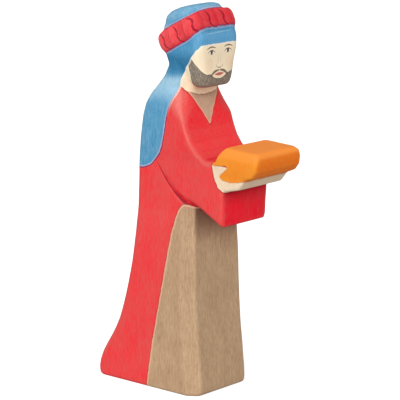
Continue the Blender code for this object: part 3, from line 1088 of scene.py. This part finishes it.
belt_xyz = node(tree, "ShaderNodeSeparateXYZ")
belt_place = node(tree, "ShaderNodeAttribute", attribute_name="belt").outputs["Vector"]
feed(tree, belt_xyz.inputs[0], belt_place)
round_belt = belt_xyz.outputs["X"]
count_from_back = sums(tree, "ADD", round_belt, 2.0 * FOLDS_ROUND)
fold_number = sums(tree, "FLOOR", sums(tree, "MODULO", count_from_back, FOLDS_ROUND))
chance = node(tree, "ShaderNodeTexWhiteNoise", noise_dimensions="1D")
feed(tree, chance.inputs["W"], fold_number)
beside = times(off_middle(sums(tree, "FRACT", round_belt)), FOLD_GAP)
up_fold = times(belt_xyz.outputs["Y"], scaled(chance.outputs["Value"], -0.22, 1.0))
feed(tree, path.inputs["Value"], up_fold)
lean = times(off_middle(path.outputs["Value"]), FOLD_LEAN)
off_fold = sums(tree, "ADD", sums(tree, "SUBTRACT", beside, lean), wobble)
at_brow = widened(tree, sums(tree, "ABSOLUTE", round_belt), 2.4, 1.4)
fold_line = line(off_fold, 0.0, scaled(at_brow, 0.30, 0.48))
fold_line = times(fold_line, sums(tree, "LESS_THAN", up_fold, FOLD_END), roll)
colour = lay(colour, fold_line, 0.78, stain(108, 18, 46))
fold_shade = scaled(at_brow, 0.34, times(widened(tree, beside, 0.4, 3.1), 0.34))
colour = lay(colour, fold_shade, roll, stain(196, 12, 40))
print("folds drawn, with", len(tree.nodes), "nodes")

# %% [markdown]
# ## Hands, gift and underside
# The hands stay bare, with a fine dark line at the cuffs. The gift's orange
# is paler on top, where light from above is painted in, and palest on its
# sharp ridges, where a thin highlight is painted. The underside was never
# stained.

# %% Leave the hands bare and stain the gift
hands_in, hands = inside("hands")
colour = blend(tree, hands, colour, bare)
colour = lay(colour, line(hands_in, -0.10, 0.36), 0.55, stain(140, 24, 34))

gift_in, gift = inside("gift")
gift_soak = scaled(sawn_side, -0.55, sums(tree, "ADD", soak, 0.25))
# Painted light from above: the gift is paler where it faces up, and paler still on top.
orange = dyed(stain(244, 154, 50), stain(252, 118, 22), scaled(skyward, -0.25, gift_soak), 0.10)
orange = lay(orange, skyward, 0.80, stain(255, 152, 64))
# A painted highlight along the gift's sharp ridges.
painted_ridge_highlight = widened(tree, stored("ridge"), 2.2, 4.2)
orange = lay(orange, painted_ridge_highlight, 0.55, stain(255, 182, 100))
colour = blend(tree, gift, colour, orange)
colour = lay(colour, line(gift_in, 0.0, 0.26), 0.45, stain(196, 104, 36))

_, underside = inside("underside", soft=0.3)
colour = lay(colour, underside, 0.9, bare)
print("the finish uses", len(tree.nodes), "nodes")

# %% [markdown]
# ## Sheen and touch
# The stains are rubbed with a little oil or wax, so the figure is matte with
# a soft sheen. Pores are rougher than the wood between them, and worn edges
# are smoother, polished by hands. The bump is only as deep as the real pores:
# a few hundredths of a millimetre.

# %% Roughness and bump
PORE_DEPTH = 0.00006

rough = scaled(wood["Pores"], 0.10, scaled(wood["Streaks"], 0.08, 0.58))
rough = scaled(worn, -0.10, rough)
bump = node(tree, "ShaderNodeBump")
bump.inputs["Strength"].default_value = 0.35
bump.inputs["Distance"].default_value = PORE_DEPTH
feed(tree, bump.inputs["Height"], wood["Relief"])
feed(tree, shader.inputs["Base Color"], colour)
feed(tree, shader.inputs["Roughness"], rough)
feed(tree, shader.inputs["Normal"], bump.outputs["Normal"])
shader.inputs["Specular IOR Level"].default_value = 0.12
figure.data.materials.append(finish)
print("links in the finish:", len(tree.links))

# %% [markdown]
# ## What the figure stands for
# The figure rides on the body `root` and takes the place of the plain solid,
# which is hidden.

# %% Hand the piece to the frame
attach(figure, "root")
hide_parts("wise_man_figurine")
print("carved_figure stands for the solid")

# %% [markdown]
# ## The studio
# The photograph is a product shot on white. The sheet of paper under the
# figure is lit on its own until it is pure white. That extra light only
# reaches the lens, so it doesn't wash out the shade under the sleeve;
# `Is Camera Ray` tells the two apart.

# %% The white paper
PAPER_SIZE = 6.0
PAPER_GREY = 0.52
PAPER_GLOW = 0.80


def to_lens(tree):
    """1 for what the lens sees itself, 0 for light on its way round."""
    return node(tree, "ShaderNodeLightPath").outputs["Is Camera Ray"]


floor_bm = bmesh.new()
bmesh.ops.create_grid(floor_bm, x_segments=1, y_segments=1, size=PAPER_SIZE)
floor_mesh = bpy.data.meshes.new("pale_floor")
floor_bm.to_mesh(floor_mesh)
floor_bm.free()
floor = bpy.data.objects.new("pale_floor", floor_mesh)
bpy.context.scene.collection.objects.link(floor)
paper = bpy.data.materials.new("white_paper")
paper.use_nodes = True
paper_tree = paper.node_tree
paper_shader = paper_tree.nodes["Principled BSDF"]
paper_shader.inputs["Base Color"].default_value = (PAPER_GREY, PAPER_GREY, PAPER_GREY, 1.0)
paper_shader.inputs["Roughness"].default_value = 0.9
paper_shader.inputs["Specular IOR Level"].default_value = 0.0
paper_shader.inputs["Emission Color"].default_value = (1.0, 1.0, 1.0, 1.0)
paper_glow = sums(paper_tree, "MULTIPLY", to_lens(paper_tree), PAPER_GLOW)
feed(paper_tree, paper_shader.inputs["Emission Strength"], paper_glow)
floor_mesh.materials.append(paper)
print("paper is", floor.dimensions.x, "m wide")

# %% [markdown]
# ## The light
# The light is broad and soft: most of it comes from a window on the left,
# some from a lamp in front, and the rest from all round. The wall behind the
# paper is as white as the paper for the lens, but lights the figure softly.

# %% Light all round, a window and a lamp
ROOM_LIGHT = 0.42
WALL_GLOW = 0.60

world = bpy.data.worlds.new("soft_studio")
world.use_nodes = True
backdrop = world.node_tree.nodes["Background"]
backdrop.inputs["Color"].default_value = (1.0, 1.0, 1.0, 1.0)
wall_light = sums(world.node_tree, "MULTIPLY_ADD", to_lens(world.node_tree), WALL_GLOW, ROOM_LIGHT)
feed(world.node_tree, backdrop.inputs["Strength"], wall_light)
bpy.context.scene.world = world


def far_lamp(name, direction, spread, strength):
    """A lamp so far off that its light has one direction, softened by its spread."""
    lamp = bpy.data.lights.new(name, "SUN")
    lamp.angle = math.radians(spread)
    lamp.energy = strength
    holder = bpy.data.objects.new(name, lamp)
    holder.matrix_world = Vector(direction).to_track_quat("Z", "Y").to_matrix().to_4x4()
    bpy.context.scene.collection.objects.link(holder)


far_lamp("window_left", (-0.84, -0.22, 0.50), 30.0, 2.00)
far_lamp("lamp_front", (-0.05, -0.90, 0.43), 50.0, 0.75)
bpy.context.scene.view_settings.view_transform = "Standard"
